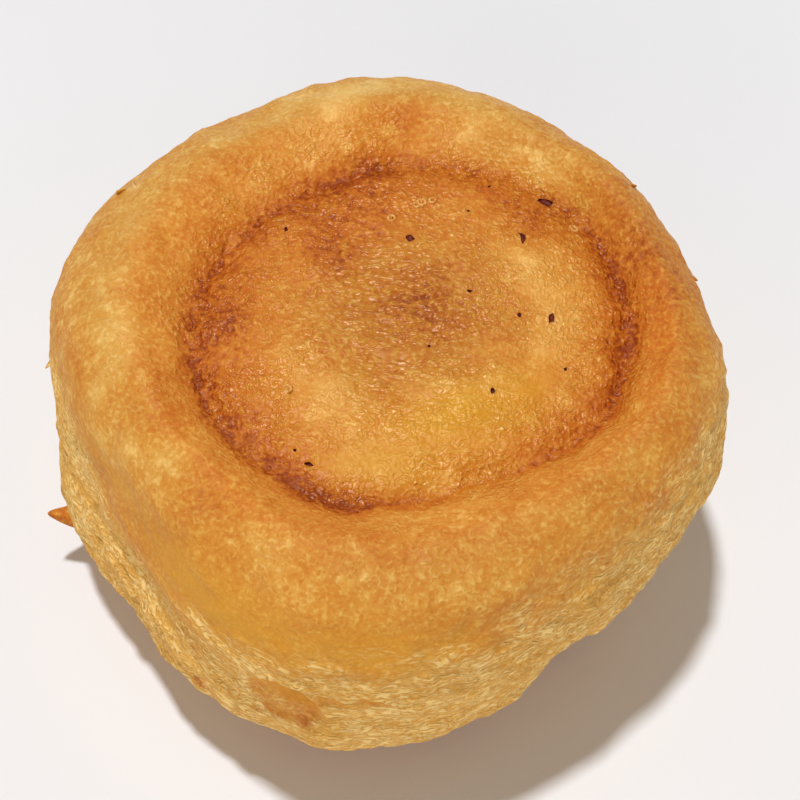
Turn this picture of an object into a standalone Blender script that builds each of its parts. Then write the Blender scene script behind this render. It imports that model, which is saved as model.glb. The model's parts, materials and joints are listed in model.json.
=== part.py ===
"""Cream puff: one uncut choux bun, lying with its round sunken panel facing up.

Metres, +Z up. The origin is under the middle of the bounding box, on the surface that the puff lies on.
Angles are degrees from +X, counter-clockwise seen from above, so 270 is the front.
"""

import math
from enum import IntEnum

import bpy
import numpy as np
from mathutils import Matrix, Vector, noise


class Ring(IntEnum):
    """Rings that the skin passes through, from the panel's middle over the rim to the middle of the foot."""

    MIDDLE = 0
    FIELD = 1
    PANEL_EDGE = 2
    CREASE = 3
    RIM_INNER = 4
    RIM_TOP = 5
    SHOULDER = 6
    FLANK = 7
    BELLY = 8
    TUCK = 9
    HEEL = 10
    FOOT = 11
    BOTTOM = 12


# Radii of the main rings
PANEL_RADIUS = 0.0238
FLANK_RADIUS = 0.0390
BELLY_RADIUS = 0.0376
TUCK_INSET = 0.0048
HEEL_SHARE = 0.40
FOOT_RADIUS = 0.0195

# Heights of the rings
MIDDLE_Z = 0.0420
FIELD_Z = 0.0416
PANEL_EDGE_Z = 0.0410
CREASE_Z = 0.0400
RIM_INNER_Z = 0.0418
RIM_TOP_Z = 0.0430
SHOULDER_Z = 0.0383
FLANK_Z = 0.0254
BELLY_Z = 0.0133
TUCK_Z = 0.0050
HEEL_Z = 0.0011

# The panel's place off the body's axis, and how it slopes
PANEL_X = 0.0027
PANEL_Y = -0.0008
PANEL_SLOPE_X = -0.040
PANEL_SLOPE_Y = 0.015

# Waves round the girth: number of waves, height, angle of a crest
PANEL_WAVES = ((1, 0.00065, -30), (2, 0.00137, 28))
FLANK_WAVES = ((1, 0.00046, 37), (2, 0.00125, -61), (3, 0.00047, 29), (4, 0.00142, -9))
BELLY_WAVES = ((1, 0.00109, 168), (2, 0.00142, 67), (3, 0.00082, 28), (4, 0.00048, 10), (5, 0.00092, -26))

# Swells and pinches of the girth: angle, half width in degrees, height
PANEL_SWELLS = (
    (98, 16, 0.0005),
    (170, 12, 0.0003),
    (250, 14, 0.0007),
    (288, 20, -0.0010),
    (333, 7, 0.0006),
    (10, 12, -0.0002),
)
FLANK_SWELLS = ((88, 10, 0.0005), (126, 9, 0.0008), (145, 10, 0.0004), (32, 9, 0.0006), (8, 12, -0.0008))
BELLY_SWELLS = (
    (305.5, 5.5, -0.0025),
    (316, 5, 0.0013),
    (329, 10, -0.0009),
    (292, 6, 0.0005),
    (256, 8, 0.0003),
    (267, 8, -0.0009),
    (212, 9, -0.0008),
    (182, 12, 0.0004),
)

# Lumps and dimples of the skin: angle, ring number, radius, height
LUMPS = (
    (172, 5.5, 0.0080, 0.0007),
    (140, 5.2, 0.0070, 0.0004),
    (100, 5.4, 0.0070, 0.0005),
    (40, 4.8, 0.0060, 0.0003),
    (232, 4.5, 0.0060, 0.0005),
    (300, 5.0, 0.0070, 0.0004),
    (253, 8.1, 0.0040, -0.0011),
    (262, 7.6, 0.0035, 0.0006),
    (235, 7.8, 0.0050, 0.0004),
    (200, 1.0, 0.0070, 0.0004),
    (20, 1.2, 0.0070, 0.0005),
    (120, 1.6, 0.0050, -0.0003),
    (290, 1.4, 0.0060, 0.0004),
)

# Furrows and ridges of the skin: angle and ring number of each end, half width, height
FURROWS = (
    ((229, 4.9), (246, 5.9), 0.0024, -0.0005),
    ((212, 7.3), (250, 7.6), 0.0018, -0.0006),
    ((214, 6.7), (256, 7.1), 0.0020, 0.0004),
    ((284, 7.9), (301, 7.7), 0.0018, -0.0006),
    ((314, 7.2), (336, 7.0), 0.0018, -0.0005),
    ((340, 3.1), (358, 3.1), 0.0015, -0.0004),
    ((95, 3.0), (112, 3.0), 0.0015, -0.0003),
    ((140, 7.6), (175, 7.2), 0.0018, -0.0005),
    ((60, 7.4), (88, 7.7), 0.0018, -0.0005),
    ((20, 7.8), (45, 7.3), 0.0018, -0.0005),
)
FURROW_STEPS = 16

# Stretched folds that run round the pale side
FOLD_PITCH = 0.0050
FOLD_TURNS = 1.6
FOLD_DEPTH = 0.0005

# Crags of the underside
CRAG_SIZE = 0.0105
CRAG_DEPTH = 0.0017
CRAG_FADE_Z = 0.0045

# Tip of dough that stands out low on the left
HORN_TIP = (-0.0415, -0.0069, 0.0092)
HORN_ROOT = (-0.0330, -0.0052, 0.0078)
HORN_RADIUS = 0.0022
HORN_TIP_SHARE = 0.42
HORN_SAG = 0.0013

SEGMENTS = 96
GAP_ROWS = (3, 4, 3, 4, 4, 6, 7, 7, 5, 4, 3, 2)
CRUST_COLOUR = (0.58, 0.29, 0.075, 1)


def smooth_step(low, high, value):
    """0 below low, 1 above high, smooth between."""
    t = np.clip((value - low) / (high - low), 0, 1)
    return t * t * (3 - 2 * t)


def girth(radius, angle, waves, swells=()):
    """A ring's radius at each angle, given in radians."""
    out = np.full_like(angle, radius)
    for count, height, crest in waves:
        out += height * np.cos(count * (angle - math.radians(crest)))
    for middle, half_width, height in swells:
        away = np.angle(np.exp(1j * (angle - math.radians(middle))))
        out += height * np.exp(-((away / math.radians(half_width)) ** 2))
    return out


def skin_rings(angle):
    """Points of every ring at each angle, as an array of rings by angles by XYZ."""
    crease = girth(PANEL_RADIUS, angle, PANEL_WAVES, PANEL_SWELLS)
    flank = girth(FLANK_RADIUS, angle, FLANK_WAVES, FLANK_SWELLS)
    belly = girth(BELLY_RADIUS, angle, BELLY_WAVES, BELLY_SWELLS)
    foot = girth(FOOT_RADIUS, angle, BELLY_WAVES)
    roll = flank - crease
    middle = np.zeros_like(angle)
    # Radius, height, and the share by which the ring follows the off-centre, sloping panel
    profile = {
        Ring.MIDDLE: (middle, MIDDLE_Z, 1.0),
        Ring.FIELD: (0.50 * crease, FIELD_Z, 1.0),
        Ring.PANEL_EDGE: (0.86 * crease, PANEL_EDGE_Z, 1.0),
        Ring.CREASE: (crease, CREASE_Z, 1.0),
        Ring.RIM_INNER: (crease + 0.22 * roll, RIM_INNER_Z, 0.8),
        Ring.RIM_TOP: (crease + 0.48 * roll, RIM_TOP_Z, 0.5),
        Ring.SHOULDER: (crease + 0.86 * roll, SHOULDER_Z, 0.15),
        Ring.FLANK: (flank, FLANK_Z, 0.0),
        Ring.BELLY: (belly, BELLY_Z, 0.0),
        Ring.TUCK: (belly - TUCK_INSET, TUCK_Z, 0.0),
        Ring.HEEL: (foot + HEEL_SHARE * (belly - TUCK_INSET - foot), HEEL_Z, 0.0),
        Ring.FOOT: (foot, 0.0, 0.0),
        Ring.BOTTOM: (middle, 0.0, 0.0),
    }
    points = []
    for ring in Ring:
        radius, height, share = profile[ring]
        x, y = radius * np.cos(angle), radius * np.sin(angle)
        slope = PANEL_SLOPE_X * x + PANEL_SLOPE_Y * y
        points.append(np.stack([x + share * PANEL_X, y + share * PANEL_Y, height + share * slope], axis=-1))
    return np.array(points)


def skin_point(angle, ring):
    """Points of the smooth skin at angles in radians and ring numbers, which may lie between two rings."""
    rings = skin_rings(angle)
    rings = np.concatenate([2 * rings[:1] - rings[1:2], rings, 2 * rings[-1:] - rings[-2:-1]])
    low = np.clip(ring.astype(int), 0, len(Ring) - 2)
    t = (ring - low)[:, None]
    a, b, c, d = (rings[low + step, np.arange(len(angle))] for step in range(4))
    return 0.5 * (2 * b + (c - a) * t + (2 * a - 5 * b + 4 * c - d) * t**2 + (3 * b - a - 3 * c + d) * t**3)


def lump_relief(points):
    """Height of the named lumps and dimples at each point."""
    out = np.zeros(len(points))
    for angle, ring, radius, height in LUMPS:
        middle = skin_point(np.array([math.radians(angle)]), np.array([float(ring)]))[0]
        away = np.linalg.norm(points - middle, axis=1)
        out += height * np.exp(-((away / radius) ** 2))
    return out


def furrow_relief(points):
    """Height of the named furrows and ridges at each point."""
    out = np.zeros(len(points))
    for start, end, half_width, height in FURROWS:
        angle, ring = np.linspace(start, end, FURROW_STEPS).T
        course = skin_point(np.radians(angle), ring)
        away = np.linalg.norm(points[:, None] - course, axis=2).min(axis=1)
        out += height * np.exp(-((away / half_width) ** 2))
    return out


def fold_relief(points, angle, ring):
    """Height of the stretched folds that run round the side, below the browned cap."""
    band = smooth_step(6.2, 7.0, ring) * (1 - smooth_step(8.6, 9.4, ring))
    out = np.zeros(len(points))
    for i in np.nonzero(band > 0.01)[0]:
        turn = Vector((math.cos(angle[i]), math.sin(angle[i]), 0)) * FOLD_TURNS
        out[i] = noise.noise(turn + Vector((0, 0, points[i, 2] / FOLD_PITCH)))
    return FOLD_DEPTH * out * band


def crag_relief(points, ring):
    """Height of the underside's rounded crags, with clefts between them, which fade out at the flat foot."""
    band = smooth_step(8.3, 9.0, ring) * smooth_step(0.0004, CRAG_FADE_Z, points[:, 2])
    out = np.zeros(len(points))
    for i in np.nonzero(band > 0.01)[0]:
        nearest, second = noise.voronoi(Vector(points[i]) / CRAG_SIZE)[0][:2]
        out[i] = min(second - nearest, 0.5) - 0.35
    return CRAG_DEPTH * out * band


def move_points(mesh, points):
    """Gives the mesh's vertices those places."""
    mesh.vertices.foreach_set("co", points.astype(np.float32).ravel())
    mesh.update()


def make_body():
    """The puff's body: a sphere whose rows are drawn onto the skin, then raised by the relief."""
    rows = sum(GAP_ROWS)
    bpy.ops.mesh.primitive_uv_sphere_add(segments=SEGMENTS, ring_count=rows, radius=1)
    body = bpy.context.object
    body.name = "puff"
    sphere = np.array([v.co for v in body.data.vertices], dtype=float)
    angle = np.arctan2(sphere[:, 1], sphere[:, 0])
    row = np.arccos(np.clip(sphere[:, 2], -1, 1)) / math.pi * rows
    ring = np.interp(row, np.cumsum((0,) + GAP_ROWS), np.arange(len(Ring)))

    smooth = skin_point(angle, ring)
    move_points(body.data, smooth)
    outward = np.array([v.normal for v in body.data.vertices], dtype=float)
    relief = lump_relief(smooth) + furrow_relief(smooth)
    relief += fold_relief(smooth, angle, ring) + crag_relief(smooth, ring)
    points = smooth + outward * relief[:, None]
    points[:, 2] = np.maximum(points[:, 2], 0)
    points[ring > Ring.FOOT - 0.01, 2] = 0
    move_points(body.data, points)
    return body


def make_horn():
    """The tip of dough: a ball drawn out into a tapering, slightly sagging tooth that starts inside the body."""
    bpy.ops.mesh.primitive_uv_sphere_add(segments=12, ring_count=9, radius=1)
    horn = bpy.context.object
    horn.name = "horn_guide"
    root, tip = Vector(HORN_ROOT), Vector(HORN_TIP)
    points = np.array([v.co for v in horn.data.vertices], dtype=float)
    along = (points[:, 2] + 1) / 2
    taper = HORN_RADIUS * (1 - (1 - HORN_TIP_SHARE) * along**1.5)
    points[:, :2] *= taper[:, None]
    points[:, 2] = along * (tip - root).length
    turn = (tip - root).to_track_quat("Z", "Y").to_matrix().to_4x4()
    move_points(horn.data, points)
    horn.data.transform(Matrix.Translation(root) @ turn)
    points = np.array([v.co for v in horn.data.vertices], dtype=float)
    points[:, 2] -= HORN_SAG * np.sin(math.pi * along)
    move_points(horn.data, points)
    return horn


def join(body, cutters):
    """Unites the body with every mesh in the collection of cutters, and removes them."""
    union = body.modifiers.new("union", "BOOLEAN")
    union.operation = "UNION"
    union.operand_type = "COLLECTION"
    union.collection = cutters
    bpy.context.view_layer.objects.active = body
    bpy.ops.object.modifier_apply(modifier=union.name)
    for used in list(cutters.objects):
        bpy.data.objects.remove(used)


def centre(body):
    """Moves the mesh so that its bounding box stands on the origin."""
    corners = np.array([v.co for v in body.data.vertices], dtype=float)
    low, high = corners.min(axis=0), corners.max(axis=0)
    middle = (low + high) / 2
    body.data.transform(Matrix.Translation((-middle[0], -middle[1], -low[2])))


def make_crust():
    """The crust's material."""
    crust = bpy.data.materials.new("crust")
    crust.use_nodes = True
    shader = crust.node_tree.nodes["Principled BSDF"]
    shader.inputs["Base Color"].default_value = CRUST_COLOUR
    shader.inputs["Roughness"].default_value = 0.5
    shader.inputs["Metallic"].default_value = 0.0
    return crust


def put_in(collection, made):
    """Moves the object into the collection."""
    for old in list(made.users_collection):
        old.objects.unlink(made)
    collection.objects.link(made)


def main():
    """Builds the puff in an emptied scene."""
    for old in list(bpy.data.objects):
        bpy.data.objects.remove(old)
    shown = bpy.data.collections.new("cream_puff")
    cutters = bpy.data.collections.new("joined_shapes")
    bpy.context.scene.collection.children.link(shown)
    bpy.context.scene.collection.children.link(cutters)

    body = make_body()
    put_in(shown, body)
    put_in(cutters, make_horn())
    join(body, cutters)
    centre(body)
    body.data.shade_smooth()
    body.data.materials.clear()
    body.data.materials.append(make_crust())


main()
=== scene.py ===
"""Dresses the cream puff: one choux bun that lies with its sunken, browned panel facing up.

The shell is a fine copy of the solid's form, with the skin's wrinkles, cracks, bubbles and tears as real
relief, and one procedural crust that browns, pales and cracks where the shell says so.
Sizes are in metres, but in millimetres in a wave, swell, lump, furrow, mark, pocket or patch. Angles are in
degrees from +X, counter-clockwise seen from above, unless a method asks for radians.
"""

import json
import logging
import math
from collections.abc import Iterable, Sequence
from dataclasses import dataclass, field
from enum import Enum, IntEnum
from typing import ClassVar

import bpy
import numpy as np
from mathutils import Matrix, Vector, kdtree, noise

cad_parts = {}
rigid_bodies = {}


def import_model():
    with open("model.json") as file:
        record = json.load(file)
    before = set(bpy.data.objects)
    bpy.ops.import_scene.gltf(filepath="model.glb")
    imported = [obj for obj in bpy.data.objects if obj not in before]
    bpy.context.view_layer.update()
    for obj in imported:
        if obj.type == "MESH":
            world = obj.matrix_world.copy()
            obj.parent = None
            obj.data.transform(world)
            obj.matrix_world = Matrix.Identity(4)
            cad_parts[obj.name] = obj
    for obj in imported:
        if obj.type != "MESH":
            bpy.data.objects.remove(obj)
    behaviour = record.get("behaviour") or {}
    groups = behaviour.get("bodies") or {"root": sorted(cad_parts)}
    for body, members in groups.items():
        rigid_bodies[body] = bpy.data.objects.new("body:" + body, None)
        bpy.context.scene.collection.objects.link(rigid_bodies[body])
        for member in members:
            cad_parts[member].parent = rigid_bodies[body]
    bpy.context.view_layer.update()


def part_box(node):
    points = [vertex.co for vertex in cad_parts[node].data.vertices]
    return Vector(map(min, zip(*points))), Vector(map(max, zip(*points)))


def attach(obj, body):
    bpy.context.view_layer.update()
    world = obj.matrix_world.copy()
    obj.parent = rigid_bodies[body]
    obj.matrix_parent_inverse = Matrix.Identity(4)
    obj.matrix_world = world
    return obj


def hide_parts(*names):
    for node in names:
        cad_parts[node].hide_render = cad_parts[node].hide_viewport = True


LOG = logging.getLogger("cream_puff")
MM = 0.001
NODE = "puff"

# How far apart the noise is read for two patterns, and about how far from 0 it lies on average
PATTERN_STEP = 17.31
RIDGE_MEAN = 0.25


# ---------------------------------------------------------------------------------------------------------
# The bun's form
# ---------------------------------------------------------------------------------------------------------


class Ring(IntEnum):
    """Rings that the skin passes through, from the panel's middle over the rim to the foot's middle."""

    MIDDLE = 0
    FIELD = 1
    PANEL_EDGE = 2
    CREASE = 3
    RIM_INNER = 4
    RIM_TOP = 5
    SHOULDER = 6
    FLANK = 7
    BELLY = 8
    TUCK = 9
    HEEL = 10
    FOOT = 11
    BOTTOM = 12


def smooth_step(low: float, high: float, value: np.ndarray) -> np.ndarray:
    """Eases from 0 to 1 between two limits.

    Args:
        low: Where the result starts to leave 0.
        high: Where the result reaches 1. It may be below low, which turns the step round.
        value: The values to ease.

    Returns:
        A number from 0 to 1 for each value.
    """
    t = np.clip((value - low) / (high - low), 0, 1)
    return t * t * (3 - 2 * t)


def bell(value: np.ndarray, middle: float, half_width: float) -> np.ndarray:
    """A bell curve that is 1 at a middle value and about a third at half its width from there."""
    return np.exp(-(((value - middle) / half_width) ** 2))


def around(angle: np.ndarray, marks: Sequence[tuple[float, float]]) -> np.ndarray:
    """Reads a value off its marks round the bun, along a straight line from mark to mark.

    Args:
        angle: Angles in radians.
        marks: Pairs of an angle in degrees, from 0 to 360, and the value there.

    Returns:
        The value at each angle.
    """
    return np.interp(np.degrees(angle) % 360, *zip(*marks))


def angle_between(angle: np.ndarray, degrees: float) -> np.ndarray:
    """Turns from an angle in degrees to each angle in radians, as radians from -pi to pi."""
    return np.angle(np.exp(1j * (angle - math.radians(degrees))))


def way_round(degrees: float) -> tuple[float, float, float]:
    """The unit way round the bun, counter-clockwise, at an angle in degrees."""
    angle = math.radians(degrees)
    return -math.sin(angle), math.cos(angle), 0.0


def turned(x: np.ndarray, y: np.ndarray, lean: float) -> tuple[np.ndarray, np.ndarray]:
    """Reads places given along X and Y along a pair of axes that leans counter-clockwise, in radians."""
    return x * math.cos(lean) + y * math.sin(lean), y * math.cos(lean) - x * math.sin(lean)


def grain(points: np.ndarray, size: float | Sequence[float], seed: int, octaves: int = 1) -> np.ndarray:
    """Smooth noise of about -1 to 1.

    Args:
        points: Places, as rows of XYZ.
        size: The grain's size, or its sizes along X, Y and Z.
        seed: Picks one pattern out of many.
        octaves: How many times the grain is laid over itself at half the size and half the height.

    Returns:
        One value for each place.
    """
    places = points / np.asarray(size, dtype=float) + seed * PATTERN_STEP
    total = np.zeros(len(points))
    for octave in range(octaves):
        total += [noise.noise(Vector(place)) / 2**octave for place in places * 2**octave]
    return total


@dataclass(frozen=True)
class Wave:
    """An even wave round a ring: how many crests it has, its height in millimetres, and a crest's angle."""

    count: int
    height: float
    crest: float


@dataclass(frozen=True)
class Swell:
    """A swell or pinch of a ring at one angle: its half width in degrees and its height in millimetres."""

    angle: float
    half_width: float
    height: float


@dataclass(frozen=True)
class Girth:
    """The radius of a ring all the way round."""

    radius: float
    waves: tuple[Wave, ...] = ()
    swells: tuple[Swell, ...] = ()

    def at(self, angle: np.ndarray) -> np.ndarray:
        """Works out the radius.

        Args:
            angle: Angles in radians.

        Returns:
            The radius at each angle.
        """
        out = np.full_like(angle, self.radius)
        for wave in self.waves:
            out += MM * wave.height * np.cos(wave.count * (angle - math.radians(wave.crest)))
        for swell in self.swells:
            away = angle_between(angle, swell.angle)
            out += MM * swell.height * bell(away, 0, math.radians(swell.half_width))
        return out


@dataclass(frozen=True)
class Lump:
    """A round lump, or a dimple where its height is negative, in millimetres."""

    angle: float
    ring: float
    radius: float
    height: float


@dataclass(frozen=True)
class Furrow:
    """A furrow between two ends, each an angle and a ring number, or a ridge where its height is positive.

    Its half width and its height are in millimetres.
    """

    start: tuple[float, float]
    end: tuple[float, float]
    half_width: float
    height: float


@dataclass(frozen=True)
class BunForm:
    """The bun's smooth form in its own frame, whose axis runs through the middle of its flank."""

    panel: Girth = Girth(
        23.8 * MM,
        (Wave(1, 0.65, -30), Wave(2, 1.37, 28)),
        (
            Swell(98, 16, 0.5),
            Swell(170, 12, 0.3),
            Swell(250, 14, 0.7),
            Swell(288, 20, -1.0),
            Swell(333, 7, 0.6),
            Swell(10, 12, -0.2),
        ),
    )
    flank: Girth = Girth(
        39.0 * MM,
        (Wave(1, 0.46, 37), Wave(2, 1.25, -61), Wave(3, 0.47, 29), Wave(4, 1.42, -9)),
        (
            Swell(88, 10, 0.5),
            Swell(126, 9, 0.8),
            Swell(145, 10, 0.4),
            Swell(32, 9, 0.6),
            Swell(8, 12, -0.8),
        ),
    )
    belly: Girth = Girth(
        37.6 * MM,
        (
            Wave(1, 1.09, 168),
            Wave(2, 1.42, 67),
            Wave(3, 0.82, 28),
            Wave(4, 0.48, 10),
            Wave(5, 0.92, -26),
        ),
        (
            Swell(305.5, 5.5, -2.5),
            Swell(316, 5, 1.3),
            Swell(329, 10, -0.9),
            Swell(292, 6, 0.5),
            Swell(256, 8, 0.3),
            Swell(267, 8, -0.9),
            Swell(212, 9, -0.8),
            Swell(182, 12, 0.4),
        ),
    )
    panel_spread: tuple[float, ...] = (0.50, 0.86)
    rim_spread: tuple[float, ...] = (0.22, 0.48, 0.86)
    foot_radius: float = 19.5 * MM
    tuck_inset: float = 4.8 * MM
    heel_share: float = 0.40
    heights: tuple[float, ...] = tuple(
        MM * height for height in (42.0, 41.6, 41.0, 40.0, 41.8, 43.0, 38.3, 25.4, 13.3, 5.0, 1.1, 0.0, 0.0)
    )
    panel_shares: tuple[float, ...] = (1, 1, 1, 1, 0.8, 0.5, 0.15, 0, 0, 0, 0, 0, 0)
    panel_place: tuple[float, float] = (2.7 * MM, -0.8 * MM)
    panel_slope: tuple[float, float] = (-0.040, 0.015)
    lumps: tuple[Lump, ...] = (
        Lump(172, 5.5, 8.0, 0.7),
        Lump(140, 5.2, 7.0, 0.4),
        Lump(100, 5.4, 7.0, 0.5),
        Lump(40, 4.8, 6.0, 0.3),
        Lump(232, 4.5, 6.0, 0.5),
        Lump(300, 5.0, 7.0, 0.4),
        Lump(253, 8.1, 4.0, -1.1),
        Lump(262, 7.6, 3.5, 0.6),
        Lump(235, 7.8, 5.0, 0.4),
        Lump(200, 1.0, 7.0, 0.4),
        Lump(20, 1.2, 7.0, 0.5),
        Lump(120, 1.6, 5.0, -0.3),
        Lump(290, 1.4, 6.0, 0.4),
    )
    furrows: tuple[Furrow, ...] = (
        Furrow((229, 4.9), (246, 5.9), 2.4, -0.5),
        Furrow((212, 7.3), (250, 7.6), 1.8, -0.6),
        Furrow((214, 6.7), (256, 7.1), 2.0, 0.4),
        Furrow((284, 7.9), (301, 7.7), 1.8, -0.6),
        Furrow((314, 7.2), (336, 7.0), 1.8, -0.5),
        Furrow((340, 3.1), (358, 3.1), 1.5, -0.4),
        Furrow((95, 3.0), (112, 3.0), 1.5, -0.3),
        Furrow((140, 7.6), (175, 7.2), 1.8, -0.5),
        Furrow((60, 7.4), (88, 7.7), 1.8, -0.5),
        Furrow((20, 7.8), (45, 7.3), 1.8, -0.5),
    )
    furrow_steps: int = 16
    fold_pitch: float = 5.0 * MM
    fold_turns: float = 1.6
    fold_depth: float = 0.5 * MM
    fold_band: tuple[float, float, float, float] = (6.2, 7.0, 8.6, 9.4)
    crag_size: float = 10.5 * MM
    crag_depth: float = 1.7 * MM
    crag_fade: tuple[float, float] = (0.4 * MM, 4.5 * MM)
    crag_band: tuple[float, float] = (8.3, 9.0)
    crag_width: float = 0.5
    crag_mean: float = 0.35

    def rings(self, angle: np.ndarray) -> np.ndarray:
        """Works out where every ring lies.

        Args:
            angle: Angles in radians.

        Returns:
            Places as rings by angles by XYZ.
        """
        crease, flank, belly = (girth.at(angle) for girth in (self.panel, self.flank, self.belly))
        foot = Girth(self.foot_radius, self.belly.waves).at(angle)
        roll, tuck = flank - crease, belly - self.tuck_inset
        middle = np.zeros_like(angle)
        radii = {
            Ring.MIDDLE: middle,
            Ring.FIELD: self.panel_spread[0] * crease,
            Ring.PANEL_EDGE: self.panel_spread[1] * crease,
            Ring.CREASE: crease,
            Ring.RIM_INNER: crease + self.rim_spread[0] * roll,
            Ring.RIM_TOP: crease + self.rim_spread[1] * roll,
            Ring.SHOULDER: crease + self.rim_spread[2] * roll,
            Ring.FLANK: flank,
            Ring.BELLY: belly,
            Ring.TUCK: tuck,
            Ring.HEEL: foot + self.heel_share * (tuck - foot),
            Ring.FOOT: foot,
            Ring.BOTTOM: middle,
        }
        places = []
        for ring in Ring:
            share = self.panel_shares[ring]
            x, y = radii[ring] * np.cos(angle), radii[ring] * np.sin(angle)
            z = self.heights[ring] + share * (self.panel_slope[0] * x + self.panel_slope[1] * y)
            shift = share * np.array([*self.panel_place, 0.0])
            places.append(np.stack([x, y, z], axis=-1) + shift)
        return np.array(places)

    def skin(self, angle: np.ndarray, ring: np.ndarray) -> np.ndarray:
        """Finds places on the smooth skin, which runs through the rings in one curve.

        Args:
            angle: Angles in radians.
            ring: Ring numbers, which may lie between two rings.

        Returns:
            One row of XYZ for each pair.
        """
        rings = self.rings(angle)
        rings = np.concatenate([2 * rings[:1] - rings[1:2], rings, 2 * rings[-1:] - rings[-2:-1]])
        low = np.clip(ring.astype(int), 0, len(Ring) - 2)
        t = (ring - low)[:, None]
        a, b, c, d = (rings[low + step, np.arange(len(angle))] for step in range(4))
        return 0.5 * (
            2 * b + (c - a) * t + (2 * a - 5 * b + 4 * c - d) * t**2 + (3 * b - a - 3 * c + d) * t**3
        )

    def one_place(self, angle: float, ring: float) -> np.ndarray:
        """The place on the smooth skin at one angle in degrees and one ring number."""
        return self.skin(np.array([math.radians(angle)]), np.array([float(ring)]))[0]

    def upward(self, angle: float, ring: float, step: float) -> np.ndarray:
        """The unit way up the skin, towards lower rings, worked out over a step to either side."""
        way = self.one_place(angle, ring - step) - self.one_place(angle, ring + step)
        return way / np.linalg.norm(way)

    def relief(self, points: np.ndarray, angle: np.ndarray, ring: np.ndarray) -> np.ndarray:
        """Works out the height of the solid's own lumps, furrows, folds and crags.

        Args:
            points: Places on the smooth skin.
            angle: Their angles in radians.
            ring: Their ring numbers.

        Returns:
            One height for each place, along the skin's normal.
        """
        out = np.zeros(len(points))
        for lump in self.lumps:
            away = np.linalg.norm(points - self.one_place(lump.angle, lump.ring), axis=1)
            out += MM * lump.height * bell(away, 0, MM * lump.radius)
        for furrow in self.furrows:
            turn, number = np.linspace(furrow.start, furrow.end, self.furrow_steps).T
            course = self.skin(np.radians(turn), number)
            away = np.min([np.linalg.norm(points - place, axis=1) for place in course], axis=0)
            out += MM * furrow.height * bell(away, 0, MM * furrow.half_width)
        return out + self._folds(points, angle, ring) + self._crags(points, ring)

    def _folds(self, points: np.ndarray, angle: np.ndarray, ring: np.ndarray) -> np.ndarray:
        """The height of the stretched folds that run round the side."""
        above, top, bottom, below = self.fold_band
        band = smooth_step(above, top, ring) * smooth_step(below, bottom, ring)
        east, north = np.cos(angle) * self.fold_turns, np.sin(angle) * self.fold_turns
        places = np.stack([east, north, points[:, 2] / self.fold_pitch], axis=-1)
        height = np.array([noise.noise(Vector(place)) for place in places])
        return self.fold_depth * height * band

    def _crags(self, points: np.ndarray, ring: np.ndarray) -> np.ndarray:
        """The height of the underside's rounded crags, which fade out at the flat foot."""
        band = smooth_step(*self.crag_band, ring) * smooth_step(*self.crag_fade, points[:, 2])
        out = np.zeros(len(points))
        for i in np.nonzero(band > 0.01)[0]:
            nearest, second = noise.voronoi(Vector(points[i]) / self.crag_size)[0][:2]
            out[i] = min(second - nearest, self.crag_width) - self.crag_mean
        return self.crag_depth * out * band


# ---------------------------------------------------------------------------------------------------------
# Meshes
# ---------------------------------------------------------------------------------------------------------


def deselect() -> None:
    """Leaves object mode with nothing selected, so that an operator acts on the new piece alone."""
    if bpy.context.object and bpy.context.object.mode != "OBJECT":
        bpy.ops.object.mode_set(mode="OBJECT")
    bpy.ops.object.select_all(action="DESELECT")


def read_points(mesh: bpy.types.Mesh) -> np.ndarray:
    """The mesh's vertices as rows of XYZ."""
    out = np.empty(3 * len(mesh.vertices))
    mesh.vertices.foreach_get("co", out)
    return out.reshape(-1, 3)


def write_points(mesh: bpy.types.Mesh, points: np.ndarray) -> None:
    """Gives the mesh's vertices those places."""
    mesh.vertices.foreach_set("co", points.astype(np.float32).ravel())
    mesh.update()


def read_normals(mesh: bpy.types.Mesh) -> np.ndarray:
    """The mesh's vertex normals as rows of XYZ."""
    out = np.empty(3 * len(mesh.vertices))
    mesh.vertex_normals.foreach_get("vector", out)
    return out.reshape(-1, 3)


def write_mask(mesh: bpy.types.Mesh, name: str, values: np.ndarray) -> None:
    """Stores one number for each vertex as an attribute that the finish reads."""
    layer = mesh.attributes.get(name) or mesh.attributes.new(name, "FLOAT", "POINT")
    layer.data.foreach_set("value", values.astype(np.float32))


def move_to(piece: bpy.types.Object, collection: bpy.types.Collection) -> None:
    """Moves a piece into one collection."""
    for old in list(piece.users_collection):
        old.objects.unlink(piece)
    collection.objects.link(piece)


# ---------------------------------------------------------------------------------------------------------
# Marks on the skin
# ---------------------------------------------------------------------------------------------------------


class MarkKind(Enum):
    """What a small mark on the skin is."""

    TEAR = "tear"
    SPLIT = "split"
    BUBBLE = "bubble"
    CHIP = "chip"


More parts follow.
